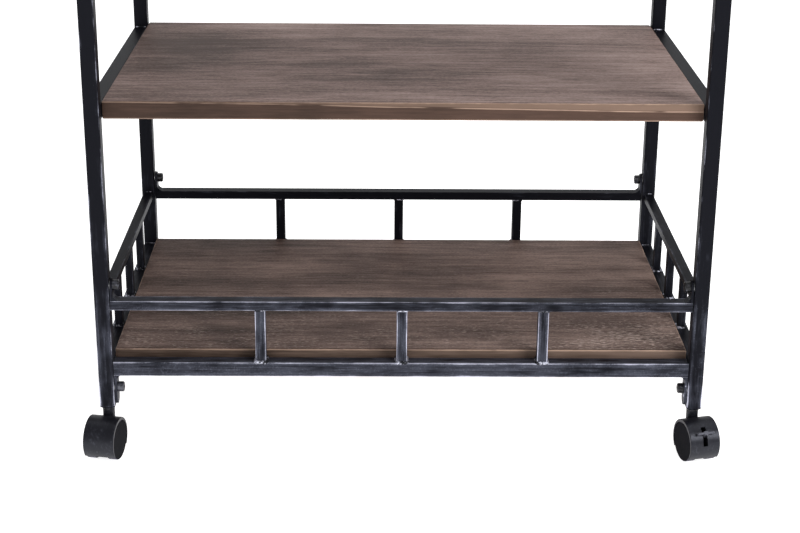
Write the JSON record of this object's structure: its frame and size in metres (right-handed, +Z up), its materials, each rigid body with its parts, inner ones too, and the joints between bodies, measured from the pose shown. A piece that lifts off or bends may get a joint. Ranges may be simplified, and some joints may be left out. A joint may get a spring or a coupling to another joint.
{
  "type": "bar cart",
  "caption": "Rolling bar cart: square steel tube frame, wooden shelves, a railed lower tray and swivelling twin-wheel casters.",
  "frame": {"origin": "on the floor, under the middle of the cart", "axes": "+X along the cart to its right as seen from the front, +Y from the front to the back, +Z up"},
  "size_m": [0.8022, 0.5454, 0.864],
  "materials": {
    "burnished_steel": "dark gunmetal lacquer over brushed steel tube, rubbed bright along the edges",
    "top_shelf_wood": "weathered grey-brown stain with pale worn edges, matt",
    "middle_shelf_wood": "weathered grey-brown stain with pale worn edges, matt",
    "lower_shelf_wood": "weathered brown stain with pale flecks and edges, matt",
    "caster_plastic": "satin black nylon",
    "caster_wheel": "black nylon, slightly glossy tread",
    "plug_plastic": "black moulded plug",
    "black_bolt": "black oxide socket-head screw",
    "zinc_steel": "bright zinc-plated steel"
  },
  "bodies": {
    "frame": {"front_balusters": "burnished_steel", "front_end_tabs": "burnished_steel", "front_gallery_rail": "burnished_steel", "front_left_caster_stem": "zinc_steel", "front_lower_bar": "burnished_steel", "front_right_caster_stem": "zinc_steel", "left_balusters": "burnished_steel", "left_gallery_rail": "burnished_steel", "left_lower_rail": "burnished_steel", "left_middle_rail": "burnished_steel", "left_top_rail": "burnished_steel", "lower_shelf": "lower_shelf_wood", "lower_shelf_ledges": "burnished_steel", "middle_shelf": "middle_shelf_wood", "middle_shelf_brackets": "burnished_steel", "panel_bolts": "black_bolt", "post_front_left": "burnished_steel", "post_front_right": "burnished_steel", "post_plugs": "plug_plastic", "post_rear_left": "burnished_steel", "post_rear_right": "burnished_steel", "rear_balusters": "burnished_steel", "rear_end_tabs": "burnished_steel", "rear_gallery_rail": "burnished_steel", "rear_left_caster_stem": "zinc_steel", "rear_lower_bar": "burnished_steel", "rear_right_caster_stem": "zinc_steel", "right_balusters": "burnished_steel", "right_gallery_rail": "burnished_steel", "right_lower_rail": "burnished_steel", "right_middle_rail": "burnished_steel", "right_top_rail": "burnished_steel", "rivet_nuts": "zinc_steel", "shelf_screws": "zinc_steel", "top_shelf": "top_shelf_wood", "top_shelf_brackets": "burnished_steel"},
    "front_left_caster": {"front_left_caster_hood": "caster_plastic", "front_left_caster_axle": "zinc_steel"},
    "front_left_inner_wheel_body": {"front_left_inner_wheel": "caster_wheel"},
    "front_left_outer_wheel_body": {"front_left_outer_wheel": "caster_wheel"},
    "front_right_caster": {"front_right_caster_hood": "caster_plastic", "front_right_caster_axle": "zinc_steel", "front_right_brake_pin": "zinc_steel"},
    "front_right_inner_wheel_body": {"front_right_inner_wheel": "caster_wheel"},
    "front_right_outer_wheel_body": {"front_right_outer_wheel": "caster_wheel"},
    "front_right_brake": {"front_right_brake_lever": "caster_plastic"},
    "rear_right_caster": {"rear_right_caster_hood": "caster_plastic", "rear_right_caster_axle": "zinc_steel"},
    "rear_right_inner_wheel_body": {"rear_right_inner_wheel": "caster_wheel"},
    "rear_right_outer_wheel_body": {"rear_right_outer_wheel": "caster_wheel"},
    "rear_left_caster": {"rear_left_caster_hood": "caster_plastic", "rear_left_caster_axle": "zinc_steel", "rear_left_brake_pin": "zinc_steel"},
    "rear_left_inner_wheel_body": {"rear_left_inner_wheel": "caster_wheel"},
    "rear_left_outer_wheel_body": {"rear_left_outer_wheel": "caster_wheel"},
    "rear_left_brake": {"rear_left_brake_lever": "caster_plastic"}
  },
  "joints": [
    {"name": "front_left_caster_swivel", "type": "hinge", "parent": "frame", "child": "front_left_caster", "pos_m": [-0.3705, -0.2235, 0.0596], "axis": [0, 0, 1], "continuous": true},
    {"name": "front_left_inner_wheel_spin", "type": "hinge", "parent": "front_left_caster", "child": "front_left_inner_wheel_body", "pos_m": [-0.36051, -0.24373, 0.025], "axis": [0.9823, -0.1874, 0], "continuous": true},
    {"name": "front_left_outer_wheel_spin", "type": "hinge", "parent": "front_left_caster", "child": "front_left_outer_wheel_body", "pos_m": [-0.38723, -0.23863, 0.025], "axis": [0.9823, -0.1874, 0], "continuous": true},
    {"name": "front_right_caster_swivel", "type": "hinge", "parent": "frame", "child": "front_right_caster", "pos_m": [0.3705, -0.2235, 0.0596], "axis": [0, 0, 1], "continuous": true},
    {"name": "front_right_inner_wheel_spin", "type": "hinge", "parent": "front_right_caster", "child": "front_right_inner_wheel_body", "pos_m": [0.36188, -0.24435, 0.025], "axis": [0.9677, 0.2521, 0], "continuous": true},
    {"name": "front_right_outer_wheel_spin", "type": "hinge", "parent": "front_right_caster", "child": "front_right_outer_wheel_body", "pos_m": [0.3882, -0.23749, 0.025], "axis": [0.9677, 0.2521, 0], "continuous": true},
    {"name": "front_right_brake_press", "type": "hinge", "parent": "front_right_caster", "child": "front_right_brake", "pos_m": [0.37755, -0.25056, 0.03336], "axis": [0.9677, 0.2521, 0], "range_deg": [0, 22]},
    {"name": "rear_right_caster_swivel", "type": "hinge", "parent": "frame", "child": "rear_right_caster", "pos_m": [0.3705, 0.2235, 0.0596], "axis": [0, 0, 1], "continuous": true},
    {"name": "rear_right_inner_wheel_spin", "type": "hinge", "parent": "rear_right_caster", "child": "rear_right_inner_wheel_body", "pos_m": [0.36016, 0.24355, 0.025], "axis": [-0.9854, 0.1702, 0], "continuous": true},
    {"name": "rear_right_outer_wheel_spin", "type": "hinge", "parent": "rear_right_caster", "child": "rear_right_outer_wheel_body", "pos_m": [0.38697, 0.23892, 0.025], "axis": [-0.9854, 0.1702, 0], "continuous": true},
    {"name": "rear_left_caster_swivel", "type": "hinge", "parent": "frame", "child": "rear_left_caster", "pos_m": [-0.3705, 0.2235, 0.0596], "axis": [0, 0, 1], "continuous": true},
    {"name": "rear_left_inner_wheel_spin", "type": "hinge", "parent": "rear_left_caster", "child": "rear_left_inner_wheel_body", "pos_m": [-0.36188, 0.24435, 0.025], "axis": [-0.9677, -0.2521, 0], "continuous": true},
    {"name": "rear_left_outer_wheel_spin", "type": "hinge", "parent": "rear_left_caster", "child": "rear_left_outer_wheel_body", "pos_m": [-0.3882, 0.23749, 0.025], "axis": [-0.9677, -0.2521, 0], "continuous": true},
    {"name": "rear_left_brake_press", "type": "hinge", "parent": "rear_left_caster", "child": "rear_left_brake", "pos_m": [-0.37755, 0.25056, 0.03336], "axis": [-0.9677, -0.2521, 0], "range_deg": [0, 22]}
  ]
}
